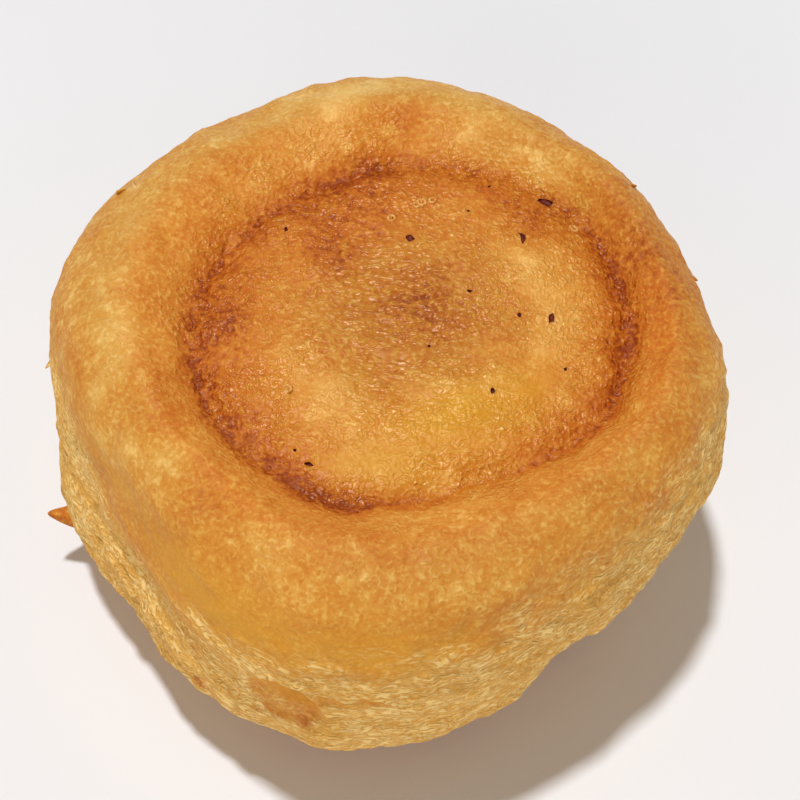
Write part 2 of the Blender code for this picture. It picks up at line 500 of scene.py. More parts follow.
@dataclass(frozen=True)
class Mark:
    """A small mark on the skin.

    Its place is an angle and a ring number, and its length, width, depth and hook are in millimetres. Its turn
    is counter-clockwise from the way round the bun, seen from outside. Lift tips a chip's point off the skin.
    """

    kind: MarkKind
    angle: float
    ring: float
    length: float
    width: float
    turn: float = 0.0
    lift: float = 0.0
    depth: float = 0.35
    hook: float = 0.0
    CUT_TAPER: ClassVar[float] = 0.45
    CUT_WAVE: ClassVar[tuple[float, float]] = (4, 0.12)
    CHIP_TAPER: ClassVar[tuple[float, float]] = (0.62, 0.38)
    CHIP_GROWTH: ClassVar[tuple[float, float]] = (1.6, 0.40)
    CHIP_REACH: ClassVar[float] = 0.35

    @property
    def is_cut(self) -> bool:
        """Whether the mark is cut into the skin rather than joined to it."""
        return self.kind in (MarkKind.TEAR, MarkKind.SPLIT)

    def model(self) -> bpy.types.Object:
        """Models the mark lying flat, with its length along X, and returns it.

        A cut is an almond with a wavy, hooked middle line. A chip is a thin leaf that narrows to its point.
        """
        deselect()
        length, width = MM * self.length / 2, MM * self.width / 2
        if self.kind is MarkKind.BUBBLE:
            bpy.ops.mesh.primitive_torus_add(
                major_segments=20, minor_segments=8, major_radius=length - width, minor_radius=width
            )
            return bpy.context.object
        bpy.ops.mesh.primitive_uv_sphere_add(segments=24, ring_count=14, radius=1)
        piece = bpy.context.object
        points = read_points(piece.data)
        if self.is_cut:
            crests, sway = self.CUT_WAVE
            points[:, 1] *= 1 - self.CUT_TAPER * points[:, 0] ** 2
            points[:, 1] += sway * np.sin(crests * points[:, 0] + self.angle)
            points *= (length, width, MM * self.depth)
            points[:, 1] += MM * self.hook * (points[:, 0] / length) ** 2
        else:
            middle, slope = self.CHIP_TAPER
            breadth, thickness = self.CHIP_GROWTH
            points[:, 1] *= middle - slope * points[:, 0]
            points *= (length, breadth * width, thickness * width)
            points[:, 0] += self.CHIP_REACH * length
        write_points(piece.data, points)
        return piece


@dataclass(frozen=True)
class Horn:
    """The tip of dough that stands out low on the left, as a tapering, slightly sagging tooth."""

    root: tuple[float, float, float] = (-33.0 * MM, -5.2 * MM, 7.8 * MM)
    tip: tuple[float, float, float] = (-41.5 * MM, -6.9 * MM, 9.2 * MM)
    radius: float = 2.2 * MM
    tip_share: float = 0.42
    sag: float = 1.3 * MM
    roughness: float = 0.25 * MM
    roughness_grain: float = 1.2 * MM

    def model(self) -> bpy.types.Object:
        """Draws a ball out into the horn and returns it."""
        deselect()
        bpy.ops.mesh.primitive_uv_sphere_add(segments=32, ring_count=30, radius=1)
        horn = bpy.context.object
        root, tip = Vector(self.root), Vector(self.tip)
        points = read_points(horn.data)
        along = (points[:, 2] + 1) / 2
        points[:, :2] *= (self.radius * (1 - (1 - self.tip_share) * along**1.5))[:, None]
        points[:, 2] = along * (tip - root).length
        points[:, :2] += self.roughness * grain(points, self.roughness_grain, 3)[:, None]
        write_points(horn.data, points)
        lean = (tip - root).to_track_quat("Z", "Y").to_matrix().to_4x4()
        horn.data.transform(Matrix.Translation(root) @ lean)
        points = read_points(horn.data)
        points[:, 2] -= self.sag * np.sin(math.pi * along)
        write_points(horn.data, points)
        return horn


# ---------------------------------------------------------------------------------------------------------
# Finishes
# ---------------------------------------------------------------------------------------------------------

Colour = tuple[float, float, float]


class Wiring:
    """Short calls that add and link shader nodes in one tree."""

    def __init__(self, tree: bpy.types.NodeTree) -> None:
        """Works on that tree."""
        self.tree = tree

    def node(self, kind: str, **settings: object) -> bpy.types.Node:
        """Adds a node and sets its named properties."""
        made = self.tree.nodes.new(kind)
        for name, value in settings.items():
            setattr(made, name, value)
        return made

    def feed(self, socket: bpy.types.NodeSocket, value: object) -> None:
        """Links a socket to another, or sets its value."""
        if isinstance(value, bpy.types.NodeSocket):
            self.tree.links.new(value, socket)
        elif value is not None:
            socket.default_value = value

    def feed_all(self, sockets: Iterable[bpy.types.NodeSocket], values: Iterable[object]) -> None:
        """Feeds each socket its value, in order."""
        for socket, value in zip(sockets, values):
            self.feed(socket, value)

    def math(self, operation: str, *values: object) -> bpy.types.NodeSocket:
        """Adds a Math node and returns its result."""
        made = self.node("ShaderNodeMath", operation=operation)
        self.feed_all(made.inputs, values)
        return made.outputs[0]

    def stretch(self, vector: object, scale: object) -> bpy.types.NodeSocket:
        """Multiplies a vector by another, given or linked, and returns the result's socket."""
        made = self.node("ShaderNodeVectorMath", operation="MULTIPLY")
        self.feed_all(made.inputs, (vector, scale))
        return made.outputs[0]

    def total(self, *terms: tuple[object, float]) -> bpy.types.NodeSocket:
        """Adds up values, each times its own factor, and returns the sum's socket."""
        out: object = 0.0
        for value, factor in terms:
            out = self.math("MULTIPLY_ADD", value, factor, out)
        return out

    def remap(self, value: object, low: float, high: float) -> bpy.types.NodeSocket:
        """Eases a value from 0 at low to 1 at high and returns the result's socket."""
        made = self.node("ShaderNodeMapRange", interpolation_type="SMOOTHSTEP")
        self.feed_all(made.inputs, (value, low, high))
        return made.outputs[0]

    def blend(self, share: object, first: object, second: object) -> bpy.types.NodeSocket:
        """Mixes two values and returns the result's socket."""
        made = self.node("ShaderNodeMix", data_type="FLOAT")
        self.feed_all((made.inputs[i] for i in (0, 2, 3)), (share, first, second))
        return made.outputs[0]

    def mix(self, share: object, first: object, second: object) -> bpy.types.NodeSocket:
        """Mixes two colours and returns the result's socket."""
        made = self.node("ShaderNodeMix", data_type="RGBA")
        ends = ((*end, 1.0) if isinstance(end, tuple) else end for end in (first, second))
        self.feed_all((made.inputs[i] for i in (0, 6, 7)), (share, *ends))
        return made.outputs[2]

    def grain(
        self, vector: object, scale: float, detail: float = 2, roughness: float = 0.5
    ) -> bpy.types.NodeSocket:
        """Adds a noise texture, whose grain is 1 / scale metres, and returns its value about 0."""
        made = self.node("ShaderNodeTexNoise")
        self.feed(made.inputs["Vector"], vector)
        made.inputs["Scale"].default_value = scale
        made.inputs["Detail"].default_value = detail
        made.inputs["Roughness"].default_value = roughness
        return self.math("SUBTRACT", made.outputs[0], 0.5)

    def warped(self, vector: object, scale: float, amount: float) -> bpy.types.NodeSocket:
        """Pushes a vector about with noise of grain 1 / scale metres and returns the result's socket."""
        noise_node = self.node("ShaderNodeTexNoise")
        self.feed(noise_node.inputs["Vector"], vector)
        noise_node.inputs["Scale"].default_value = scale
        push = self.node("ShaderNodeVectorMath", operation="MULTIPLY_ADD")
        self.feed_all(push.inputs, (noise_node.outputs["Color"], (amount, amount, amount), vector))
        return push.outputs[0]

    def attribute(self, name: str, output: str = "Fac") -> bpy.types.NodeSocket:
        """Reads one of the mesh's attributes."""
        return self.node("ShaderNodeAttribute", attribute_name=name).outputs[output]

    def group(self, tree: bpy.types.NodeTree, **values: object) -> bpy.types.Node:
        """Places a node group with its inputs linked or set, each named by the input in lower case."""
        made = self.node("ShaderNodeGroup", node_tree=tree)
        for socket in made.inputs:
            self.feed(socket, values.get(socket.name.lower()))
        return made


class NodeGroup(Wiring):
    """A shader node group under construction, with named inputs and outputs."""

    def __init__(self, name: str) -> None:
        """Starts an empty group.

        Args:
            name: The group's name.
        """
        super().__init__(bpy.data.node_groups.new(name, "ShaderNodeTree"))
        self.start = self.node("NodeGroupInput")
        self.end = self.node("NodeGroupOutput")

    def takes(self, name: str, kind: str = "Float") -> bpy.types.NodeSocket:
        """Adds a named input of kind Float, Vector or Color and returns the socket that hands it in."""
        self.tree.interface.new_socket(name, in_out="INPUT", socket_type=f"NodeSocket{kind}")
        return self.start.outputs[name]

    def gives(self, name: str, source: bpy.types.NodeSocket, kind: str = "Float") -> None:
        """Adds a named output that hands out a socket's value."""
        self.tree.interface.new_socket(name, in_out="OUTPUT", socket_type=f"NodeSocket{kind}")
        self.tree.links.new(source, self.end.inputs[name])


def new_material(name: str) -> tuple[bpy.types.Material, Wiring, bpy.types.Node]:
    """Makes a material and returns it with the calls that wire it and with its Principled BSDF."""
    material = bpy.data.materials.new(name)
    material.use_nodes = True
    return material, Wiring(material.node_tree), material.node_tree.nodes["Principled BSDF"]


@dataclass(frozen=True)
class Browning:
    """How the crust's colour follows its baking, with its colours from raw gold to burnt umber."""

    stops: tuple[tuple[float, Colour], ...] = (
        (0.00, (0.83, 0.54, 0.170)),
        (0.20, (0.72, 0.410, 0.092)),
        (0.40, (0.640, 0.295, 0.040)),
        (0.60, (0.565, 0.192, 0.018)),
        (0.80, (0.47, 0.123, 0.011)),
        (1.00, (0.25, 0.040, 0.006)),
    )
    # Painted glow: a deeper amber that stands for light scattered through the thin skin
    painted_glow_colour: Colour = (0.71, 0.345, 0.018)
    warm_tint: Colour = (1.08, 0.90, 0.70)
    straw_light: Colour = (0.92, 0.64, 0.235)
    straw_deep: Colour = (0.82, 0.46, 0.105)
    crack_colour: Colour = (0.60, 0.27, 0.035)

    def group(self) -> bpy.types.NodeTree:
        """Builds the group that turns baking and dryness into colour.

        Returns:
            A group that takes Bake, Straw, Glow, Warm, Crack and Fleck and gives Colour.
        """
        group = NodeGroup("choux browning")
        bake, straw, glow, warm, crack, fleck = (
            group.takes(name) for name in ("Bake", "Straw", "Glow", "Warm", "Crack", "Fleck")
        )
        ramp = group.node("ShaderNodeValToRGB")
        ramp.color_ramp.interpolation = "B_SPLINE"
        elements = ramp.color_ramp.elements
        while len(elements) < len(self.stops):
            elements.new(0.5)
        for element, (position, colour) in zip(elements, self.stops):
            element.position = position
            element.color = (*colour, 1.0)
        group.feed(ramp.inputs[0], bake)
        tint = group.mix(warm, (1.0, 1.0, 1.0), self.warm_tint)
        # Glow mixes in the painted glow of light scattered through the skin
        golden = group.mix(glow, group.stretch(ramp.outputs[0], tint), self.painted_glow_colour)
        dry = group.mix(fleck, self.straw_deep, self.straw_light)
        dry = group.mix(crack, dry, self.crack_colour)
        group.gives("Colour", group.mix(straw, golden, dry), "Color")
        return group.tree


@dataclass(frozen=True)
class SkinBumps:
    """The wet-looking bumps of the browned skin: domes with fuller tops, and a little grit.

    Near the panel's middle they are drawn out into ripples.
    """

    bend_scale: float = 800.0
    bend: float = 0.0008
    dome_scale: float = 2200.0
    dome: float = 0.45
    top: float = 1.15
    top_softness: float = 0.30
    grit_scale: float = 4400.0
    grit: float = 0.14
    ripple_stretch: tuple[float, float, float] = (0.45, 1.0, 1.0)

    def group(self) -> bpy.types.NodeTree:
        """Builds the group for the bumps.

        Returns:
            A group that takes Vector and Ripple and gives Height, about 0.
        """
        group = NodeGroup("skin bumps")
        vector, ripple = group.takes("Vector", "Vector"), group.takes("Ripple")
        stretch = group.node("ShaderNodeMix", data_type="VECTOR")
        group.feed_all((stretch.inputs[i] for i in (0, 4, 5)), (ripple, (1, 1, 1), self.ripple_stretch))
        eased = group.stretch(vector, stretch.outputs[1])
        bent = group.warped(eased, self.bend_scale, self.bend)
        dome = group.grain(bent, self.dome_scale, 0)
        grit = group.grain(bent, self.grit_scale, 0)
        top = group.math("SMOOTH_MAX", dome, 0.0, self.top_softness)
        group.gives("Height", group.total((dome, self.dome), (top, self.top), (grit, self.grit)))
        return group.tree


@dataclass(frozen=True)
class DryFibres:
    """The dry side's skin, stretched into long thin plates with narrow cracks between them."""

    bend_scale: float = 330.0
    bend: float = 0.0017
    stretch: tuple[float, float, float] = (0.38, 0.38, 1.0)
    plate_scale: float = 1900.0
    plate_reach: float = 0.17
    fibre_scale: float = 3400.0
    fibre_roughness: float = 0.6
    fibre_shade: float = 0.8
    plate_height: float = 0.55
    fibre_height: float = 0.35

    def group(self) -> bpy.types.NodeTree:
        """Builds the group for the plates.

        Returns:
            A group that takes Flow, the way round and down the skin, and gives Plate, which is 0 in a crack
            and 1 on a plate, and Height.
        """
        group = NodeGroup("dry fibres")
        flow = group.takes("Flow", "Vector")
        long = group.stretch(group.warped(flow, self.bend_scale, self.bend), self.stretch)
        gap = group.math("ABSOLUTE", group.grain(long, self.plate_scale))
        plate = group.remap(gap, 0.0, self.plate_reach)
        fibre = group.grain(long, self.fibre_scale, 2, self.fibre_roughness)
        group.gives("Plate", group.total((plate, 1.0), (fibre, self.fibre_shade)))
        group.gives("Height", group.total((plate, self.plate_height), (fibre, self.fibre_height)))
        return group.tree


@dataclass(frozen=True)
class CrustFinish:
    """Baked choux crust: glossy where it browned, dry and straw-pale where it stretched.

    A scale is one over a grain's size in metres, and a bump is a height in metres. A reach runs from where a
    value starts to tell to where it tells in full, and a bake is such a reach of the baking.
    """

    name: str = "baked crust"
    browning: Browning = Browning()
    bumps: SkinBumps = SkinBumps()
    fibres: DryFibres = DryFibres()
    cloud_scale: float = 240.0
    cloud: float = 0.36
    speckle_scale: float = 1500.0
    speckle: float = 0.26
    dark_speckle: float = 0.85
    pale_scale: float = 430.0
    pale_warp: tuple[float, float] = (260.0, 0.0025)
    pale: float = 0.34
    pale_bake: tuple[float, float] = (0.62, 0.44)
    # Knobs in the crease: raised in the bump, with painted light on their raised parts and painted shade
    # between them
    knob_scale: float = 950.0
    knob: float = 0.60
    knob_bake: tuple[float, float] = (0.52, 0.80)
    knob_bump: float = 0.00060
    # Painted shading of the bumps: raised parts painted lighter, hollows painted darker
    painted_bump_shading: float = 0.12
    # Painted highlight on the bumps' tops
    tip: float = 0.12
    painted_highlight_reach: tuple[float, float] = (0.12, 0.32)
    pale_reach: tuple[float, float] = (0.02, 0.26)
    crack_reach: tuple[float, float] = (0.32, -0.22)
    fleck_shares: tuple[float, float, float] = (0.7, 1.8, 1.2)
    fleck_reach: tuple[float, float] = (-0.10, 0.85)
    plate_mean: float = 0.45
    ragged_scale: float = 420.0
    ragged_stretch: tuple[float, float, float] = (0.40, 0.40, 1.0)
    ragged: float = 6.5
    flaky: float = 1.3
    dry_reach: tuple[float, float] = (0.12, 0.94)
    rough_grain: float = 0.6
    glossy_roughness: float = 0.33
    dull_roughness: float = 0.72
    straw_roughness: float = 0.90
    specular: float = 0.40
    specular_tint: Colour = (1.0, 0.89, 0.68)
    dull_bump: float = 0.00007
    glossy_bump: float = 0.00030
    fibre_bump: float = 0.00028

    def build(self) -> bpy.types.Material:
        """Builds the crust's material and returns it."""
        material, wiring, shader = new_material(self.name)
        place = wiring.node("ShaderNodeTexCoord").outputs["Object"]
        # The glow attribute is painted glow; bake also carries some painted shade and painted sheen
        bake, straw, glow, warm, gloss, split, ripple = (
            wiring.attribute(name) for name in ("bake", "straw", "glow", "warm", "gloss", "split", "ripple")
        )
        flow = wiring.attribute("flow", "Vector")
        fibres = wiring.group(self.fibres.group(), flow=flow).outputs
        bumps = wiring.group(self.bumps.group(), vector=place, ripple=ripple).outputs["Height"]

        # How dry the skin is, with a ragged, flaky edge
        edge = wiring.math("MULTIPLY", straw, wiring.math("SUBTRACT", 1.0, straw))
        long = wiring.stretch(flow, self.ragged_stretch)
        ragged = wiring.math("MULTIPLY", wiring.grain(long, self.ragged_scale, 3, self.rough_grain), edge)
        flaky = wiring.math("MULTIPLY", wiring.math("SUBTRACT", fibres["Plate"], self.plate_mean), edge)
        dry = wiring.total((ragged, self.ragged), (flaky, self.flaky), (straw, 1.0))
        dry = wiring.remap(dry, *self.dry_reach)

        # How far it is baked, with clouds, speckles and pale blotches
        speckle = wiring.grain(place, self.speckle_scale, 3, self.rough_grain)
        cloud = wiring.grain(place, self.cloud_scale)
        # Knobs: the same grain raises the bump and paints light and shade on it
        knob_grain = wiring.grain(place, self.knob_scale, 1)
        knob = wiring.math("MULTIPLY", knob_grain, wiring.remap(bake, *self.knob_bake))
        # Painted highlight: the bumps' tops are painted lighter
        tip = wiring.remap(bumps, *self.painted_highlight_reach)
        strength = wiring.total((bake, self.dark_speckle), (self.speckle, 1.0))
        mottle = wiring.math("MULTIPLY", speckle, strength)
        warped = wiring.warped(place, *self.pale_warp)
        pale = wiring.remap(wiring.grain(warped, self.pale_scale, 3, self.rough_grain), *self.pale_reach)
        pale = wiring.math("MULTIPLY", pale, wiring.remap(bake, *self.pale_bake))
        # Painted light and shade: raised bumps and knobs painted lighter, their hollows darker; the pale
        # blotches are the skin's own
        painted_light_and_blotches = ((bumps, -self.painted_bump_shading), (tip, -self.tip), (knob, -self.knob), (pale, -self.pale))
        baked = wiring.total((bake, 1.0), (cloud, self.cloud), (mottle, 1.0), (wiring.total(*painted_light_and_blotches), 1.0))
        crack = wiring.math("MAXIMUM", split, wiring.remap(fibres["Plate"], *self.crack_reach))
        fleck = wiring.total(*zip((fibres["Plate"], cloud, speckle), self.fleck_shares))
        fleck = wiring.remap(fleck, *self.fleck_reach)
        colour = wiring.group(
            self.browning.group(), bake=baked, straw=dry, glow=glow, warm=warm, crack=crack, fleck=fleck
        )
        wiring.feed(shader.inputs["Base Color"], colour.outputs["Colour"])

        skin_roughness = wiring.blend(gloss, self.dull_roughness, self.glossy_roughness)
        wiring.feed(shader.inputs["Roughness"], wiring.blend(dry, skin_roughness, self.straw_roughness))
        shader.inputs["Specular IOR Level"].default_value = self.specular
        shader.inputs["Specular Tint"].default_value = (*self.specular_tint, 1.0)

        skin = wiring.math("MULTIPLY", bumps, wiring.blend(gloss, self.dull_bump, self.glossy_bump))
        skin = wiring.total((skin, 1.0), (knob, self.knob_bump))
        dry_skin = wiring.math("MULTIPLY", fibres["Height"], self.fibre_bump)
        bump = wiring.node("ShaderNodeBump")
        bump.inputs["Distance"].default_value = 1.0
        wiring.feed(bump.inputs["Height"], wiring.blend(dry, skin, dry_skin))
        wiring.feed(shader.inputs["Normal"], bump.outputs["Normal"])
        return material


@dataclass(frozen=True)
class MarkFinish:
    """A small mark's own colours: scorched dark in a tear, pale in a fresh split or on a bubble's rim."""

    name: str
    first: Colour
    second: Colour
    roughness: float
    specular: float = 0.25
    speck_scale: float = 2500.0
    speck_edge: float = 0.1

    def build(self) -> bpy.types.Material:
        """Builds the mark's material and returns it."""
        material, wiring, shader = new_material(self.name)
        place = wiring.node("ShaderNodeTexCoord").outputs["Object"]
        speck = wiring.remap(wiring.grain(place, self.speck_scale), -self.speck_edge, self.speck_edge)
        wiring.feed(shader.inputs["Base Color"], wiring.mix(speck, self.first, self.second))
        shader.inputs["Roughness"].default_value = self.roughness
        shader.inputs["Specular IOR Level"].default_value = self.specular
        return material


@dataclass(frozen=True)
class FloorFinish:
    """The plain pale floor."""

    name: str = "pale floor"
    colour: Colour = (0.82, 0.83, 0.845)
    roughness: float = 0.6
    specular: float = 0.2

    def build(self) -> bpy.types.Material:
        """Builds the floor's material and returns it."""
        material, _, shader = new_material(self.name)
        shader.inputs["Base Color"].default_value = (*self.colour, 1.0)
        shader.inputs["Roughness"].default_value = self.roughness
        shader.inputs["Specular IOR Level"].default_value = self.specular
        return material


# ---------------------------------------------------------------------------------------------------------
# The shell
# ---------------------------------------------------------------------------------------------------------


@dataclass(frozen=True)
class Patch:
    """A soft patch of the crust.

    Its place is an angle and a ring number, its half widths run round and across the rings, and its turn is
    counter-clockwise from the way round, seen from outside. Its thickness keeps it off skin that faces away.
    Its widths and its thickness are in millimetres.
    """

    angle: float
    ring: float
    half_round: float
    half_across: float
    strength: float
    turn: float = 0.0
    thickness: float = 12.0

    def at(self, form: BunForm, points: np.ndarray) -> np.ndarray:
        """Works out the patch's share of its strength.

        Args:
            form: The form that the patch lies on.
            points: Places on the smooth skin.

        Returns:
            The patch's strength at each place.
        """
        away = points - form.one_place(self.angle, self.ring)
        round_way = np.array(way_round(self.angle))
        across_way = form.upward(self.angle, self.ring, 0.05)
        right, up = away @ round_way, away @ across_way
        off = away - np.outer(right, round_way) - np.outer(up, across_way)
        along, across = turned(right, up, math.radians(self.turn))
        reach = (along / (MM * self.half_round)) ** 2 + (across / (MM * self.half_across)) ** 2
        return self.strength * np.exp(-reach - (np.linalg.norm(off, axis=1) / (MM * self.thickness)) ** 2)


@dataclass(frozen=True)
class Pocket:
    """A shallow oval pocket where a blister sank in, overhung above and with a thin raised lip.

    Its half widths, depth and lip are in millimetres. It reaches from 0 in its middle to 1 on its edge.
    """

    angle: float
    ring: float
    half_round: float
    half_down: float
    turn: float
    depth: float
    lip: float
    BOWL_EDGE: ClassVar[tuple[float, float]] = (1.03, 0.76)
    LIP_BELT: ClassVar[tuple[float, float]] = (1.12, 0.14)
    FAR: ClassVar[float] = 9.0

    def reach(self, form: BunForm, points: np.ndarray) -> tuple[np.ndarray, np.ndarray]:
        """How far out each place lies in the pocket, and how far up, from about -1 to 1."""
        half_round, half_down = MM * self.half_round, MM * self.half_down
        away = points - form.one_place(self.angle, self.ring)
        right, up = away @ np.array(way_round(self.angle)), away @ form.upward(self.angle, self.ring, 0.1)
        along, across = turned(right, up, math.radians(self.turn))
        out = np.hypot(along / half_round, across / half_down)
        far = np.linalg.norm(away, axis=1) > 4 * half_round
        return np.where(far, self.FAR, out), np.clip(across / half_down, -1.2, 1.2)

    def height(self, form: BunForm, points: np.ndarray) -> np.ndarray:
        """The pocket's height at each place, which is below 0 inside it."""
        out, up = self.reach(form, points)
        bowl = smooth_step(*self.BOWL_EDGE, out) * (0.65 + 0.35 * up)
        lip = MM * self.lip * bell(out, *self.LIP_BELT) * (0.55 + 0.45 * up)
        return lip - MM * self.depth * bowl


@dataclass(frozen=True)
class Texture:
    """One texture: its grain's size, its height, and the pattern that it takes.

    Its height is in metres, or in rings or shares where it bends a border or changes a mask.
    """

    size: float | tuple[float, float, float]
    height: float
    seed: int
    octaves: int = 1

    def grain(self, places: np.ndarray) -> np.ndarray:
        """The texture's grain at each place, of about -1 to 1."""
        return grain(places, self.size, self.seed, self.octaves)

    def bumps(self, places: np.ndarray) -> np.ndarray:
        """The texture's height at each place, in even bumps and hollows."""
        return self.height * self.grain(places)

    def ridges(self, places: np.ndarray) -> np.ndarray:
        """The texture's height at each place, in broad ridges with narrow valleys between them."""
        return self.height * (np.abs(self.grain(places)) - RIDGE_MEAN)


@dataclass(frozen=True)
class SkinRelief:
    """The skin's own relief: its textures, and the bands of rings that they lie in.

    A band is the ring where it starts to show and the ring where it has its full height. A belt is a middle
    ring, or a middle dryness for the lip, and a half width. The rays, flakes, lips, fibres and splits follow
    the flow, and the other textures lie in space.
    """

    swell: Texture = Texture(8.0 * MM, 0.45 * MM, 1)
    lump: Texture = Texture(3.0 * MM, 0.26 * MM, 12)
    wrinkle: Texture = Texture(1.1 * MM, 0.12 * MM, 2)
    crease_knob: Texture = Texture(1.5 * MM, 0.32 * MM, 8)
    ripple: Texture = Texture((2.4 * MM, 1.0 * MM, 2.4 * MM), 0.13 * MM, 4)
    ray: Texture = Texture((2.2 * MM, 2.2 * MM, 6.0 * MM), 0.16 * MM, 5)
    flake: Texture = Texture((1.8 * MM, 1.8 * MM, 0.8 * MM), 0.14 * MM, 15)
    lip: Texture = Texture((2.2 * MM, 2.2 * MM, 1.1 * MM), 0.22 * MM, 16, 2)
    fibre: Texture = Texture((5.0 * MM, 5.0 * MM, 1.5 * MM), 0.52 * MM, 6, 2)
    split: Texture = Texture((8.0 * MM, 8.0 * MM, 1.5 * MM), 0.22 * MM, 7, 2)
    crag: Texture = Texture(2.6 * MM, 0.60 * MM, 9, 2)
    groove_bend: Texture = Texture(2.5 * MM, 0.12, 14)
    foot_fade: tuple[float, float] = (0.1 * MM, 2.0 * MM)
    panel_band: tuple[float, float] = (2.6, 1.8)
    flake_band: tuple[float, float] = (4.6, 5.6)
    side_band: tuple[float, float] = (9.6, 8.8)
    under_band: tuple[float, float] = (8.8, 9.4)
    crease_belt: tuple[float, float] = (2.75, 0.55)
    ray_belt: tuple[float, float] = (3.8, 0.6)
    lip_belt: tuple[float, float] = (0.5, 0.22)
    split_edge: tuple[float, float] = (0.90, 0.985)
    groove_depth: float = 0.12 * MM
    groove_half_rings: float = 0.17
    groove_strengths: tuple[tuple[float, float], ...] = (
        (0, 0.5), (15, 0.8), (35, 1.0), (55, 0.3), (90, 0.4), (120, 0.3), (145, 0.7), (185, 0.9),
        (230, 1.0), (258, 1.2), (270, 0.6), (300, 0.3), (325, 0.5), (340, 1.2), (360, 0.5)
    )

    def splits(self, flow: np.ndarray) -> np.ndarray:
        """How much each place lies in one of the long splits of the side, from 0 to 1."""
        return smooth_step(*self.split_edge, 1 - np.abs(self.split.grain(flow)))

    def at(
        self, points: np.ndarray, angle: np.ndarray, ring: np.ndarray, flow: np.ndarray, straw: np.ndarray
    ) -> np.ndarray:
        """Works out the relief.

        Args:
            points: Places on the smooth skin.
            angle: Their angles in radians.
            ring: Their ring numbers.
            flow: Their ways round and down the skin.
            straw: How far each lies in the dry band, from 0 to 1.

        Returns:
            One height for each place, along the skin's normal.
        """
        side = straw * smooth_step(*self.side_band, ring)
        out = self.swell.bumps(points)
        out += self.lump.bumps(points)
        out += self.wrinkle.bumps(points) * (1 - 0.6 * side)
        out += self.crease_knob.bumps(points) * bell(ring, *self.crease_belt)
        out += self.ripple.bumps(points) * smooth_step(*self.panel_band, ring)
        out += self.ray.bumps(flow) * bell(ring, *self.ray_belt)
        out += self.flake.bumps(flow) * smooth_step(*self.flake_band, ring)
        out += self.lip.ridges(flow) * bell(straw, *self.lip_belt)
        out += self.fibre.ridges(flow) * side
        out -= self.split.height * self.splits(flow) * side
        out += self.crag.bumps(points) * smooth_step(*self.under_band, ring)

        bent = ring + self.groove_bend.bumps(points)
        depth = self.groove_depth * around(angle, self.groove_strengths)
        out -= depth * bell(bent, Ring.CREASE, self.groove_half_rings)
        return out * smooth_step(*self.foot_fade, points[:, 2])


